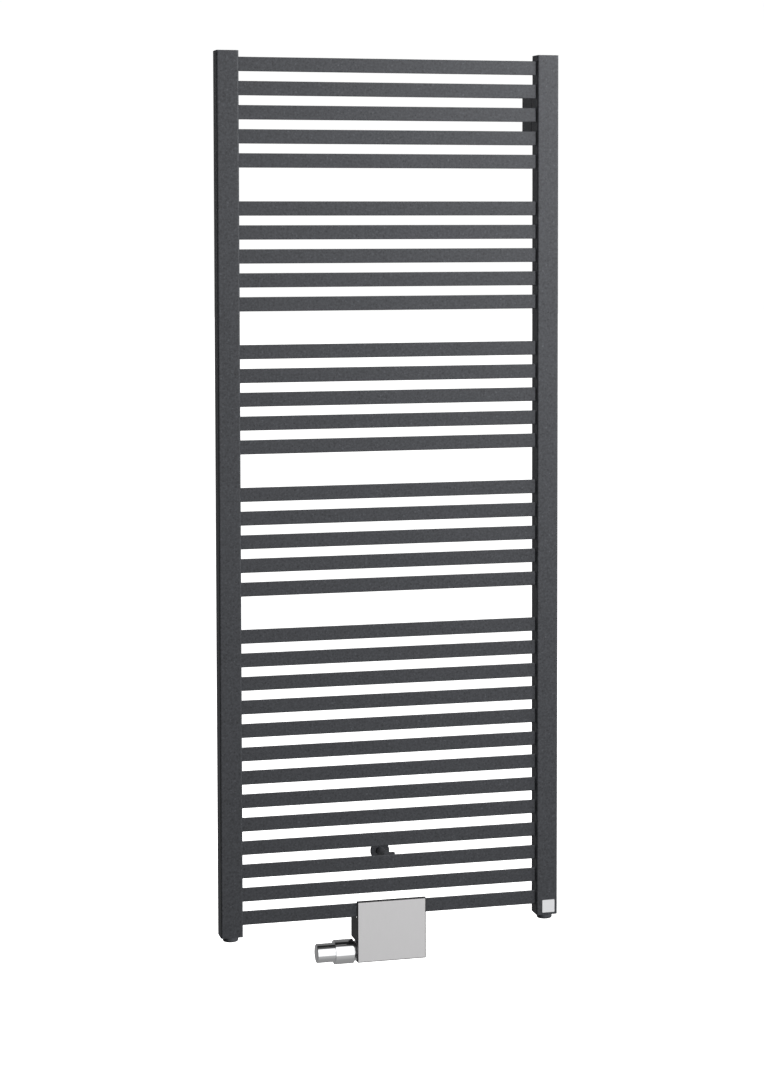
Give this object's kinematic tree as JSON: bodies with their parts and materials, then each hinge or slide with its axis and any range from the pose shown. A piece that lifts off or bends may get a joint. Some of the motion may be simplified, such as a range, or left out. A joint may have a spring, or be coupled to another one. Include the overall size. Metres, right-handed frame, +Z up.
{
  "type": "towel radiator with valve",
  "caption": "Ladder towel radiator with flat horizontal bars between two square columns, wall brackets, a central thermostatic valve and a pull-off cover",
  "frame": {"origin": "on the wall plane, at the centre of the four upper wall fixings", "axes": "+X right along the bars seen from the front, +Y from the radiator towards the wall, +Z up"},
  "size_m": [0.6, 0.096, 1.5775],
  "materials": {
    "powder_coat": "anthracite textured powder coat, fine grain with light flecks",
    "plug_coat": "anthracite enamel, a little smoother than the tubes",
    "bracket_steel": "dark powder-coated steel",
    "zinc_steel": "zinc-plated steel",
    "vent_nickel": "nickel-plated brass",
    "badge_metal": "blank satin silver plate",
    "seal_rubber": "black rubber",
    "valve_brass": "machined brass",
    "union_brass": "nickel-plated brass nuts and nipples",
    "spring_steel": "stainless steel",
    "head_chrome": "polished chrome",
    "capsule_metal": "drawn metal capsule",
    "cover_satin": "satin chrome sheet"
  },
  "bodies": {
    "radiator": {"bar_01": "powder_coat", "bar_02": "powder_coat", "bar_03": "powder_coat", "bar_04": "powder_coat", "bar_05": "powder_coat", "bar_06": "powder_coat", "bar_07": "powder_coat", "bar_08": "powder_coat", "bar_09": "powder_coat", "bar_10": "powder_coat", "bar_11": "powder_coat", "bar_12": "powder_coat", "bar_13": "powder_coat", "bar_14": "powder_coat", "bar_15": "powder_coat", "bar_16": "powder_coat", "bar_17": "powder_coat", "bar_18": "powder_coat", "bar_19": "powder_coat", "bar_20": "powder_coat", "bar_21": "powder_coat", "bar_22": "powder_coat", "bar_23": "powder_coat", "bar_24": "powder_coat", "bar_25": "powder_coat", "bar_26": "powder_coat", "bar_27": "powder_coat", "bar_28": "powder_coat", "bar_29": "powder_coat", "bar_30": "powder_coat", "bar_31": "powder_coat", "bar_32": "powder_coat", "bar_33": "powder_coat", "left_column": "powder_coat", "right_column": "powder_coat", "top_end_caps": "powder_coat", "bottom_end_caps": "powder_coat", "blanking_plugs": "plug_coat", "connection_seals": "seal_rubber", "air_vent_plug": "vent_nickel", "badge_plate": "badge_metal", "upper_wall_plates": "bracket_steel", "upper_bracket_housings": "powder_coat", "bracket_screws": "zinc_steel", "lower_wall_foot": "powder_coat", "lower_bar_clip": "powder_coat", "centre_sockets": "powder_coat", "flow_baffle": "powder_coat", "valve_unions": "union_brass", "valve_block": "valve_brass", "valve_insert": "valve_brass", "pin_spring": "spring_steel", "head_ring_nut": "head_chrome"},
    "head": {"head_handle": "head_chrome", "head_grip": "head_chrome"},
    "sensor": {"sensor_capsule": "capsule_metal", "valve_pin": "spring_steel"},
    "lockshield": {"lockshield_spindle": "valve_brass"},
    "vent_screw": {"air_vent_screw": "vent_nickel"},
    "valve_cover": {"cover": "cover_satin"}
  },
  "joints": [
    {"name": "head_turn", "type": "hinge", "parent": "radiator", "child": "head", "pos_m": [-0.081, -0.066, -1.4465], "axis": [-1, 0, 0], "range_deg": [-150, 150]},
    {"name": "pin_travel", "type": "slide", "parent": "radiator", "child": "sensor", "axis": [1, 0, 0], "range_m": [-0.0012, 0.0012], "deforming": ["pin_spring"]},
    {"name": "lockshield_turn", "type": "hinge", "parent": "radiator", "child": "lockshield", "pos_m": [0.025, -0.075, -1.4465], "axis": [0, -1, 0], "range_deg": [0, 1080]},
    {"name": "vent_screw_turn", "type": "hinge", "parent": "radiator", "child": "vent_screw", "pos_m": [0.281, -0.052, 0.092], "axis": [0, 1, 0], "range_deg": [0, 360]},
    {"name": "cover_pull", "type": "slide", "parent": "radiator", "child": "valve_cover", "axis": [0, -1, 0], "range_m": [0, 0.08]}
  ],
  "couplings": [
    {"joint": "pin_travel", "follows": "head_turn", "m_per_rad": 0.000458}
  ]
}
